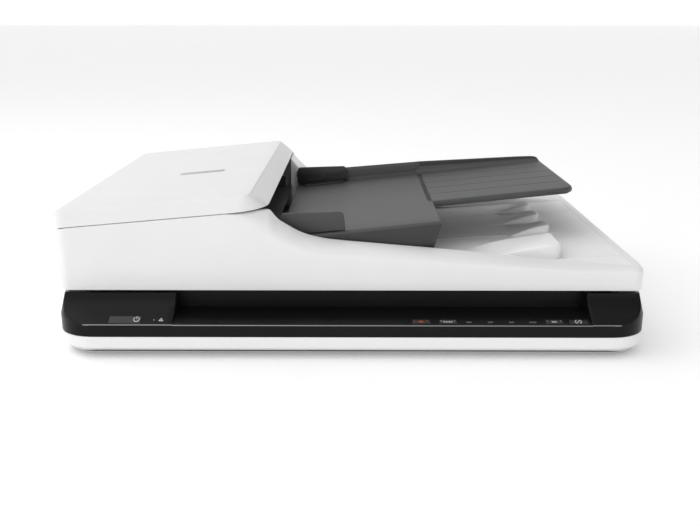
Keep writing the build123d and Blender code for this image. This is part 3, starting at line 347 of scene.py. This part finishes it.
def lid_stations():
    """Outer and inner plan point, crease, inner height, sweep and inner foot, all round the lid."""
    stations = []
    foot, wall_foot = 57.1, LID_LOW + 1.0
    corner_z, edge_z = split_z(-LID_CORNER_X), COVER_PIVOT[1] - 3.0

    def wall(outer, inner, z):
        stations.append((outer, inner, z - 0.5, z, 0.0, wall_foot))

    for x in np.linspace(-LID_CORNER_X, -94, 30):
        wall((x, LID_FRONT), (x, LID_FRONT + WALL), split_z(x))
    for x in np.concatenate((np.linspace(-92, 20, 75), np.linspace(24, LID_CORNER_X, 60))):
        crease, y_in, z_in = [smooth_table(FRONT_RIM, k, x) for k in (1, 2, 3)]
        sweep = float(np.clip((x + 92) / 14, 0, 1))
        stations.append(((x, LID_FRONT), (x, y_in), crease, z_in, sweep, foot))
    for a in np.linspace(0, math.pi / 2, 10)[1:]:
        k = a / (math.pi / 2)
        outer = (LID_CORNER_X + LID_R * math.sin(a), LID_FRONT + LID_R - LID_R * math.cos(a))
        inner = (LID_CORNER_X + k * (BIN_RIGHT - LID_CORNER_X), -144.8 + 0.8 * k)
        stations.append((outer, inner, 60.3 + 2.3 * k, 65.0 - 0.8 * k, 1 - 0.7 * k, foot))
    for k in np.linspace(0, 1, 30)[1:]:
        y = -144.8 + (LID_BACK - LID_R + 144.8) * k
        inner = (BIN_RIGHT, -144 + (MOUTH_BACK + 144) * k)
        stations.append(((LID_HALF_X, y), inner, 62.6, BIN_EDGE_Z, 0.3, foot))
    for a in np.linspace(0, math.pi / 2, 10)[1:]:
        k = a / (math.pi / 2)
        outer = (LID_CORNER_X + LID_R * math.cos(a), LID_BACK - LID_R + LID_R * math.sin(a))
        inner = (BIN_RIGHT - 2.5 * k, MOUTH_BACK)
        stations.append((outer, inner, 62.6 - 1.1 * k, 64.2 + 0.3 * k, 0.3 * (1 - k), foot))
    for x in np.concatenate((np.linspace(212, 24, 40), np.linspace(20, FEEDER_RIGHT, 50))):
        z = smooth_table(REAR_RIM, 1, x)
        stations.append(((x, LID_BACK), (x, MOUTH_BACK), z - 3.0, z, 0.0, foot))
    for x in np.linspace(FEEDER_RIGHT, -LID_CORNER_X, 40):
        wall((x, LID_BACK), (x, LID_BACK - WALL), split_z(x))
    for a in np.linspace(0, math.pi / 2, 10)[1:]:
        normal = np.array((-math.sin(a), math.cos(a)))
        centre = np.array((-LID_CORNER_X, LID_BACK - LID_R))
        z = corner_z + (edge_z - corner_z) * a
        wall(centre + LID_R * normal, centre + (LID_R - WALL) * normal, z)
    for y in np.linspace(LID_BACK - LID_R, LID_FRONT + LID_R, 24)[1:]:
        wall((-LID_HALF_X, y), (-LID_HALF_X + WALL, y), edge_z)
    for a in np.linspace(0, math.pi / 2, 10)[1:-1]:
        normal = np.array((-math.cos(a), -math.sin(a)))
        centre = np.array((-LID_CORNER_X, LID_FRONT + LID_R))
        k = a / (math.pi / 2)
        z = edge_z + (corner_z - edge_z) * k
        wall(centre + LID_R * normal, centre + (LID_R - WALL) * normal, z)
    return stations


def make_lid():
    made = bmesh.new()
    add_rings(made, [rim_section(*station) for station in lid_stations()], closed=True)
    piece("lid_body", made, WHITE, "lid", ["lid_shell"])


def bin_z(x):
    return float(np.interp(x, *BIN_FLOOR))


def make_bin():
    made = bmesh.new()
    xs = sorted(set(np.linspace(-60, 214, 60)) | {70.0, 218.2})
    ys = [-150.0, 111.2] + list(np.linspace(-148, 109, 60))
    depth = {}
    for groove in GROOVES_Y:
        ys += [groove - 0.65, groove - 0.35, groove + 0.35, groove + 0.65]
        depth.update({groove - 0.35: 0.9, groove + 0.35: 0.9})
    ys = sorted(ys)
    rings = []
    for x in xs:
        upper = [(x, y, bin_z(x) - depth.get(y, 0.0)) for y in ys]
        rings.append(upper + [(x, ys[-1], bin_z(x) - 2.0), (x, ys[0], bin_z(x) - 2.0)])
    add_rings(made, rings)
    piece("bin_floor", made, BIN_PAINTED_BRIGHT, "lid", ["output_bin"])
    for i, finger in enumerate(FINGERS):
        made = bmesh.new()
        add_rings(made, wedge_rings(*finger))
        piece(f"bin_wedge_{i + 1}", made, BIN_PAINTED_BRIGHT, "lid")


def wedge_rings(y0, y1, start, end, top):
    """A ramp on the output floor that rises to the right and ends in a rounded upright nose."""
    def crest(x):
        share = float(np.interp((x - start) / (end - start), (0, 0.3, 0.64, 0.85, 0.97, 1.0),
                                (0, 0.45, 0.86, 1.0, 1.0, 0.98)))
        return bin_z(start) + (top - bin_z(start)) * share

    rings = []
    levels = ((0.0, 0.0), (0.0, 0.5), (0.0, 0.78), (0.12, 0.85), (0.45, 0.92), (1.1, 0.975), (2.2, 1.0))
    for inset, share in levels:
        plan = rounded_outline(start, end, y0, y1, (8.0, 3.0, 0.6, 0.6), inset, 10, 24)
        rings.append([(x, y, bin_z(x) - 0.8 + (crest(x) - bin_z(x) + 0.8) * share) for x, y in plan])
    return rings


# ---------------------------------------------------------------- feeder cover

def cover_loop(inset, share, lift):
    """One ring of the cover; share runs from 0 at the lower edge to 1 at the top."""
    right = FEEDER_RIGHT + (COVER_TOP_X - FEEDER_RIGHT) * share
    corner = 25.0 - 19.0 * share
    radii = (corner, LID_R, LID_R, LID_R)
    plan = rounded_outline(-LID_HALF_X, right, LID_FRONT, LID_BACK, radii, inset, 12, 28)
    return [(x, y, (split_z(x) + 0.9) * (1 - share) + top_z(x) * share + lift) for x, y in plan]


def make_cover():
    made = bmesh.new()
    thick, edge = 2.2, 1.1
    rings = [cover_loop(inset, share, lift) for inset, share, lift in (
        (edge + 6, 1, -thick), (thick + 1.5, 1, -thick), (thick, 1, -thick - 1.5), (thick, 0.5, 0),
        (thick, 0, 0.2), (thick - 0.2, 0, -0.4), (0.2, 0, -0.4), (0, 0, -0.2), (0, 0.2, 0), (0, 0.5, 0))]
    for a in np.linspace(0, math.pi / 2, 7):
        rings.append(cover_loop(edge * (1 - math.cos(a)), 1, -edge * (1 - math.sin(a))))
    rings.append(cover_loop(edge + 6, 1, 0))
    add_rings(made, rings)
    piece("cover_shell", made, WHITE, "cover", ["feeder_cover"])
    made = bmesh.new()
    rings = slab_rings(-153, -113, -26.5, -17.5, (4.5,) * 4, lambda x, y: top_z(x) - 0.2,
                       lambda x, y: top_z(x) + 0.35, 0.2, 0.05)
    add_rings(made, rings)
    piece("blank_badge", made, SILVER, "cover", ["cover_badge"])


# ---------------------------------------------------------------- sheet tray and its guides

def make_tray():
    made = bmesh.new()
    rail = [(97.0, -0.2), (100.0, 0.3), (102.2, 2.0)]

    def section(u, front, height):
        """Ring across the tray at u: flat deck, then the rounded rail along the back, then the underside."""
        ring = [(u, front + 3.9 * (1 - math.cos(a)), -3.9 * (1 - math.sin(a)))
                for a in np.linspace(0.5, math.pi / 2, 6)]
        ring += [(u, front + 4 + (93.0 - front) * k, 0.0) for k in np.linspace(0.1, 0.97, 12)]
        ring += [(u, y, w) for y, w in rail]
        for a in np.linspace(math.pi, 0, 9):
            ring.append((u, 105.6 + 3.2 * math.cos(a), height - 3.2 + 3.2 * math.sin(a)))
        return ring + [(u, 108.9, height * 0.3), (u, 108.9, -5.2), (u, 106.6, -5.4), (u, 106.4, -2.5),
                       (u, front + 3, -2.5)]

    us = np.linspace(TRAY_LEFT, TRAY_STEP, 26)
    rings = [section(u, TRAY_FRONT, float(np.interp(u, (TRAY_LEFT, TRAY_STEP), (13.5, 11.0)))) for u in us]
    add_rings(made, tilt(rings))
    paint_rail_shade(piece("tray_deck", made, TRAY, "tray", ["tray_pan"]))

    made = bmesh.new()

    def top(x, y):
        rise = float(np.interp(y, (97, 100, 102.2, 103.0, 104.6, 107.0, 109),
                               (0, 0.3, 2.0, 3.6, 5.6, 6.0, 4.4)))
        return rise * float(np.interp(x, (TRAY_STEP, TRAY_RIGHT - 25, TRAY_RIGHT), (11.0 / 6.0, 1.0, 0.7)))

    rings = tongue_rings(top)
    add_rings(made, tilt(rings))
    paint_rail_shade(piece("tray_tongue", made, TRAY, "tray"))
    make_skirt()


def paint_rail_shade(obj):
    """The rail along the back of the tray gets the darker guide plastic as painted shade for its shaded front
    face.
    """
    obj.data.materials.append(GUIDE_DARK_AND_RAIL_SHADE)
    for face in obj.data.polygons:
        face.material_index = 1 if face.center.y > 103.2 * MM else 0


def tongue_rings(top):
    """The tray's outer half as sections along y, with thin grooves and a rounded tip."""
    ys = [TONGUE_FRONT + d for d in (0.0, 0.25, 0.8, 1.7, 3.0)]
    grooves = (-14.0, 15.0, 43.0, 71.0)
    for y in grooves:
        ys += [y - 0.6, y - 0.25, y + 0.25, y + 0.6]
    ys += list(np.linspace(-40, 96, 20)) + list(np.linspace(97.5, 109, 16))
    ys = sorted(ys)
    corner = 12.0
    rings = []
    for y in ys:
        from_front = y - TONGUE_FRONT
        edge = 1.6 * (1 - math.sqrt(max(0.0, 1 - (1 - min(from_front, 3.0) / 3.0) ** 2)))
        right = TRAY_RIGHT
        for gap in (from_front, TRAY_BACK - y):
            if gap < corner:
                right = min(right, TRAY_RIGHT - corner + math.sqrt(max(0.0, corner**2 - (corner - gap) ** 2)))
        notch = 0.5 if any(abs(abs(y - g) - 0.25) < 1e-6 for g in grooves) else 0.0
        us = [TRAY_STEP - 4, *np.linspace(TRAY_STEP, right - 4, 22), right - 2.2, right - 0.9, right - 0.2]
        ends = [0.0] * 23 + [0.15, 0.6, 1.6]
        upper = [(u, y, top(u, y) - edge - notch * (u < right - 6) - e) for u, e in zip(us, ends)]
        lower = [(right, y, -2.8), (right - 0.6, y, -4.6 + edge), (right - 2.5, y, -5.5 + edge)]
        rings.append(upper + lower + [(TRAY_STEP - 4, y, -5.5 + edge)])
    return rings


def make_skirt():
    """Front face of the tray: slanted at its right end, with a rounded upper edge."""
    made = bmesh.new()
    rings = []
    for u in np.linspace(-48, TRAY_STEP, 40):
        low = float(np.interp(u, (-48, -40, -16, 22, TRAY_STEP), (-5.0, -6.0, -8.5, -14.5, -22.0)))
        shift = 7.5 * (u - 30) / 40 if u > 30 else 0.0
        ring = [(u, TRAY_FRONT + 3.6, -0.3)]
        ring += [(u, TRAY_FRONT + 3.6 * (1 - math.cos(a)), -0.3 - 3.6 * (1 - math.sin(a)))
                 for a in np.linspace(math.pi / 2, 0, 7)[1:]]
        ring += [(u - shift * k, TRAY_FRONT, min(low * k, -3.95 - k)) for k in (0.4, 0.7, 0.97)]
        ring += [(u - shift, TRAY_FRONT + 0.4, low), (u - shift, TRAY_FRONT + 2.2, low),
                 (u - shift * 0.5, TRAY_FRONT + 2.6, low * 0.5)]
        rings.append(ring)
    add_rings(made, tilt(rings))
    piece("tray_skirt", made, SKIRT_PAINTED_SHADE, "tray")


def fence_rings(y0, y1):
    """An upright plate between y0 and y1 with rounded upper corners and soft edges."""
    rings = []
    for inset, y in ((0.7, y0), (0.2, y0 + 0.2), (0.0, y0 + 0.7), (0.0, y1 - 0.7),
                     (0.2, y1 - 0.2), (0.7, y1)):
        plan = rounded_outline(GUIDE_LEFT, GUIDE_RIGHT, 0.4, GUIDE_H, (1.0, 3.5, 3.5, 1.0), inset, 8, 8)
        rings.append([(u, y, w * (1 + 0.0048 * (GUIDE_RIGHT - u))) for u, w in plan])
    return rings


def make_guides():
    for name, y0, y1, foot0, foot1, look, node in (
            ("guide_front", SHEET_FRONT - 3, SHEET_FRONT, SHEET_FRONT - 1, SHEET_FRONT + 11,
             GUIDE, "front_guide"),
            ("guide_rear", SHEET_BACK, SHEET_BACK + 3, SHEET_BACK - 11, SHEET_BACK + 1,
             GUIDE_DARK_AND_RAIL_SHADE, "rear_guide")):
        made = bmesh.new()
        add_rings(made, tilt(fence_rings(y0, y1)))
        add_rings(made, tilt(slab_rings(GUIDE_LEFT + 6, GUIDE_RIGHT - 4, foot0, foot1, (2.0,) * 4,
                                        0.3, 1.4, 0.5, 0.1)))
        neck = -40.6 if y0 < 0 else -19.4
        add_rings(made, tilt(slab_rings(neck - 2, neck + 2, min(foot0, foot1) + 3.8, max(foot0, foot1) - 1,
                                        (0.5,) * 4, -4.6, 0.8, 0.2, 0.2)))
        piece(name, made, look, node + "_body", [node])


def make_guide_mark():
    """A thin line and a drop-shaped mark on the rear guide's inner face."""
    made = bmesh.new()
    for plan in (rounded_outline(-46, -14, 4.6, 4.9, (0.1,) * 4, 0, 2, 6),
                 [(-29 + 0.75 * math.sin(a), 7.6 + 0.9 * math.cos(a) + 0.7 * max(0.0, math.cos(a)) ** 4)
                  for a in np.linspace(0, 2 * math.pi, 24)[:-1]]):
        add_rings(made, tilt([[(u, y, w) for u, w in plan] for y in (SHEET_BACK - 0.08, SHEET_BACK + 0.1)]))
    piece("guide_mark", made, GUIDE, "rear_guide_body")


# ---------------------------------------------------------------- soft mat under the lid

def make_mat():
    x0, x1, y0, y1 = FLATBED
    made = bmesh.new()
    rings = []
    for inset, z in ((0.6, 48.8), (0.1, 48.4), (0.0, 47.5), (0.15, 46.7), (0.7, 46.2), (1.8, 45.95),
                     (4.0, 45.85), (12.0, 45.8)):
        rings.append([(x, y, z) for x, y in rounded_outline(x0, x1, y0, y1, (14.0,) * 4, inset, 6, 24)])
    add_rings(made, rings)
    mat = piece("foam_mat", made, FOAM, "lid", ["backing_mat"])


# ---------------------------------------------------------------- front bezel

def bezel_ring(part, side, profile, lift=0.0):
    """Section of the bezel; part is 0 at the middle, 1 where the corner starts and 2 at its end."""
    ring = []
    centre_y = BASE_FRONT + BASE_R
    for z in BEZEL_LEVELS:
        radius = BASE_R - max(0.0, z - BULGE_Z) * TAPER
        turn = max(0.0, part - 1) * math.acos((centre_y - BEZEL_BACK) / radius)
        x = min(part, 1) * (BASE_HALF_X - BASE_R) + radius * math.sin(turn)
        wall = centre_y - radius * math.cos(turn)
        depth = profile(z) + (lift if z > 27.3 else 0.0)
        gap = depth - wall
        y = wall + 0.5 * (gap + math.sqrt(gap * gap + 1.2) - math.sqrt(1.2) * math.exp(-abs(gap) * 3))
        y += max(0.0, BEZEL_LOW + 0.5 - z)
        ring.append((side * x, min(y, BEZEL_BACK) if part > 1 else y, z))
    deep = PANEL_BACK if part <= 1 else BEZEL_BACK
    return ring + [(side * x, max(deep, y), BASE_TOP), (side * x, max(deep, y), 26.0),
                   (side * x, BEZEL_BACK, 26.0), (side * x, BEZEL_BACK, BEZEL_LOW)]


def shelf_depth(z):
    """Depth of the panel at a height: upright nose, sloping shelf, then a concave rise to the lid."""
    low, start, end = SHELF[0][3] - 1.5, SHELF[1][3] - 2.6, LID_FRONT - 0.4
    if z <= low:
        return float(np.interp(z, *SHELF))
    t = (z - low) / (BASE_TOP - low)
    return start + (end - start) * (3 * t**2 - 2 * t**3) + 22.0 * (t**3 - 2 * t**2 + t) + 3.0 * (t**3 - t**2)


def pocket_depth(z):
    return float(np.interp(z, *POCKET))


BEZEL_LEVELS = [
    BEZEL_LOW, 17.7, 18.0, 20, 22, 24, 25.4, 26.0, 26.5, 26.8, 27.0, 27.3, 27.5, 27.8, 28.3, 28.8, 29.3,
    29.6, 29.9, 30.2, 30.5, 31, 31.7, 32.5, 33.2, 34, 34.4, 34.9, 35.5, 36.3, 37.2, 38.2, 39.4, 40.8,
    42.3, 43.9, BASE_TOP]


def make_bezel():
    straight = BASE_HALF_X - BASE_R
    rings = [bezel_ring(1 + k, -1, shelf_depth) for k in np.linspace(1, 0.04, 26)]
    left, right = POCKET_X
    rings += [bezel_ring(-x / straight, -1, shelf_depth) for x in np.linspace(-straight, left - 0.5, 12)]
    rings += [bezel_ring(-left / straight, -1, shelf_depth, 0.5)]
    rings += [bezel_ring(-x / straight, -1, pocket_depth) for x in np.linspace(left, 0, 24)]
    rings += [bezel_ring(x / straight, 1, pocket_depth) for x in np.linspace(5, right, 30)]
    rings += [bezel_ring(right / straight, 1, shelf_depth, 0.5)]
    rings += [bezel_ring(x / straight, 1, shelf_depth) for x in np.linspace(right + 0.5, straight, 8)]
    rings += [bezel_ring(1 + k, 1, shelf_depth) for k in np.linspace(0.04, 1, 26)]
    made = bmesh.new()
    add_rings(made, rings)
    bezel = piece("bezel_panel", made, BLACK, "base", ["front_bezel"])
    cut_wells(bezel)
    # Faces along the nose's upper edge carry the painted highlight.
    bezel.data.materials.append(BEZEL_PAINTED_HIGHLIGHT)
    for face in bezel.data.polygons:
        middle = face.center / MM
        on_painted_highlight = 26.5 < middle.z < 27.3 and abs(middle.x) < 206 and -175.4 < middle.y < -174.6
        face.material_index = 1 if on_painted_highlight else 0


def add_print(made, points, place, slope, thick=0.12):
    """A flat printed mark; points lie about its centre, on a panel that rises by slope towards the back."""
    x0, y0, z0 = place
    rings = []
    for lift in (-0.05, thick):
        rings.append([(x0 + x, y0 + y, z0 + slope * y + lift) for x, y in points])
    add_rings(made, rings)


def arc_strip(radius, width, first, last, steps=20):
    """A band along a circle, between two angles in degrees from the front."""
    angles = np.radians(np.linspace(first, last, steps))
    outer = [(radius * math.sin(a), radius * math.cos(a)) for a in angles]
    inner = [((radius - width) * math.sin(a), (radius - width) * math.cos(a)) for a in reversed(angles)]
    return outer + inner


def box_plan(x0, x1, y0, y1):
    return [(x0, y0), (x1, y0), (x1, y1), (x0, y1)]


def make_prints():
    """Marks on the keys and the panel: a standby ring, a warning triangle, bars and a round arrow."""
    made = bmesh.new()
    place = (-161.8, -171.2, 30.19)
    add_print(made, arc_strip(2.3, 0.5, 35, 325), place, 0.51)
    add_print(made, box_plan(-0.25, 0.25, 0.4, 2.7), place, 0.51)
    piece("mark_power", made, ICON, "power_key_body")
    made = bmesh.new()
    place = (-143.3, -171.2, 29.66)
    for low, high in ((0.0, 1.0), (1.0, 2.0), (2.0, 3.0)):
        a, b = [(1.9 * math.sin(t * 2.0944), 1.9 * math.cos(t * 2.0944)) for t in (low, high)]
        c, d = [(x * 0.6, y * 0.6) for x, y in (b, a)]
        add_print(made, [a, b, c, d], place, 0.53)
    add_print(made, [(0.35 * math.sin(t), 0.35 * math.cos(t)) for t in np.linspace(0, 5.5, 8)],
              (-148.6, -171.2, 29.66), 0.53)
    piece("mark_warning", made, ICON, "base")
    for name, x, width, look, body, lift in (
            ("cancel", 52.3, 3.4, ICON_RED, "cancel_key_body", 0.35),
            ("tools", 72.5, 7.0, ICON, "tools_key_body", 0.35),
            ("colour", 88.3, 3.6, ICON_DIM, "base", 0), ("pages", 104.4, 3.6, ICON_DIM, "base", 0),
            ("target", 120.3, 3.6, ICON_DIM, "base", 0), ("size", 136.3, 5.2, ICON_DIM, "base", 0),
            ("duplex", 152.4, 3.8, ICON, "duplex_key_body", 0.35)):
        made = bmesh.new()
        place = (x, -170.6, 28.1 + lift + 0.08)
        add_print(made, box_plan(-width / 2, width / 2, -0.9, -0.4), place, 0.2)
        for k in (-0.42, -0.14, 0.14, 0.42):
            add_print(made, box_plan(width * k - 0.25, width * k + 0.25, -0.1, 0.9), place, 0.2)
        for side in (-1, 1) if body != "base" else ():
            add_print(made, box_plan(side * 5.0 - 0.35, side * 5.0 + 0.35, 0.6, 1.2), place, 0.2)
        piece("mark_" + name, made, look, body)
    made = bmesh.new()
    place = (170.5, -170.4, 28.56)
    add_print(made, arc_strip(2.6, 0.55, 20, 160), place, 0.2)
    add_print(made, arc_strip(2.6, 0.55, 200, 340), place, 0.2)
    add_print(made, [(-0.9, -0.9), (-0.4, -1.2), (0.9, 0.9), (0.4, 1.2)], place, 0.2)
    piece("mark_scan", made, ICON, "scan_key_body")


def cut_wells(bezel):
    """Cuts the wells in which the keys move."""
    made = bmesh.new()
    for x, y, width, depth in KEYS:
        half_x, half_y = width / 2 + 0.3, depth / 2 + 0.3
        plan = rounded_outline(x - half_x, x + half_x, y - half_y, y + half_y, (0.6,) * 4, 0.0, 3, 2)
        add_rings(made, [[(a, b, z) for a, b in plan] for z in (25.0, 36.0)])
    bmesh.ops.recalc_face_normals(made, faces=made.faces)
    mesh = bpy.data.meshes.new("well_cutter")
    made.to_mesh(mesh)
    made.free()
    cutter = bpy.data.objects.new("well_cutter", mesh)
    bpy.context.scene.collection.objects.link(cutter)
    cut = bezel.modifiers.new("wells", "BOOLEAN")
    cut.operation, cut.object, cut.solver = "DIFFERENCE", cutter, "EXACT"
    bpy.context.view_layer.update()
    done = bpy.data.meshes.new_from_object(bezel.evaluated_get(bpy.context.evaluated_depsgraph_get()))
    bezel.modifiers.clear()
    bezel.data = done
    bpy.data.objects.remove(cutter)


# ---------------------------------------------------------------- build

for node_name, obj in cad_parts.items():
    if node_name in CAD_LOOK:
        obj.data.materials.clear()
        obj.data.materials.append(CAD_LOOK[node_name])

make_lid()
make_bin()
make_cover()
make_tray()
make_guides()
make_guide_mark()
make_mat()
make_bezel()
make_prints()


# ---------------------------------------------------------------- floor, light and camera

def make_stage():
    mesh = bpy.data.meshes.new("floor")
    side = 60.0
    mesh.from_pydata([(-side, -side, 0), (side, -side, 0), (side, side, 0), (-side, side, 0)],
                     [], [(0, 1, 2, 3)])
    floor = bpy.data.objects.new("floor", mesh)
    bpy.context.scene.collection.objects.link(floor)
    paper = grained("floor_white", (0.90, 0.90, 0.90), 0.9, grain=40.0, depth=0.0, mottle=0.004, specular=0.1)
    paper.node_tree.nodes["Principled BSDF"].inputs["Emission Color"].default_value = (1, 1, 1, 1)
    paper.node_tree.nodes["Principled BSDF"].inputs["Emission Strength"].default_value = 0.2
    mesh.materials.append(paper)
    mesh = bpy.data.meshes.new("backdrop")
    sides, radius = 32, 57
    ways = [math.radians(360 / sides * k) for k in range(sides)]
    points = [(radius * math.cos(a), radius * math.sin(a), z) for z in (0, 8) for a in ways]
    mesh.from_pydata(points, [],
                     [(k, (k + 1) % sides, (k + 1) % sides + sides, k + sides) for k in range(sides)])
    backdrop = bpy.data.objects.new("backdrop", mesh)
    bpy.context.scene.collection.objects.link(backdrop)
    mesh.materials.append(glowing("backdrop_white", (1.0, 1.0, 1.0), 0.9))
    world = bpy.data.worlds.new("studio")
    bpy.context.scene.world = world
    world.use_nodes = True
    nodes, links = world.node_tree.nodes, world.node_tree.links
    nodes["Background"].inputs["Color"].default_value = (1, 1, 1, 1)
    place = nodes.new("ShaderNodeTexCoord")
    parts = nodes.new("ShaderNodeSeparateXYZ")
    spread = nodes.new("ShaderNodeMapRange")
    spread.inputs["From Min"].default_value = -1.0
    spread.inputs["To Min"].default_value = 1.34
    spread.inputs["To Max"].default_value = 0.14
    links.new(place.outputs["Generated"], parts.inputs["Vector"])
    links.new(parts.outputs["X"], spread.inputs["Value"])
    links.new(spread.outputs["Result"], nodes["Background"].inputs["Strength"])


def softbox(name, place, target, size, watts):
    light = bpy.data.lights.new(name, "AREA")
    light.shape, light.size, light.energy = "SQUARE", size, watts
    obj = bpy.data.objects.new(name, light)
    bpy.context.scene.collection.objects.link(obj)
    obj.location = place
    way = np.array(target) - np.array(place)
    obj.rotation_euler = (math.atan2(math.hypot(way[0], way[1]), -way[2]), 0, math.atan2(-way[0], way[1]))


# Metres, degrees down, radians to the left, and millimetres.
CAMERA_AT, CAMERA_PITCH, CAMERA_TURN = (0.002363, -0.796386, 0.247773), 15.502, 0.00558
LENS, SENSOR = 45.219, 36.0


def make_camera():
    camera = bpy.data.objects.new("camera", bpy.data.cameras.new("camera"))
    bpy.context.scene.collection.objects.link(camera)
    camera.location = CAMERA_AT
    camera.rotation_euler = (math.radians(90 - CAMERA_PITCH), 0, CAMERA_TURN)
    camera.data.lens, camera.data.sensor_width = LENS, SENSOR
    camera.data.clip_start = 0.01
    bpy.context.scene.camera = camera


make_stage()
softbox("top", (-0.9, -0.1, 1.5), (0, 0, 0.05), 1.8, 8)
softbox("front_left", (-1.1, -1.4, 1.1), (0, 0, 0.05), 1.2, 1)
softbox("front_right", (0.5, -1.6, 0.5), (0.08, 0, 0.06), 0.8, 1.2)
make_camera()
bpy.context.scene.view_settings.view_transform = "Standard"
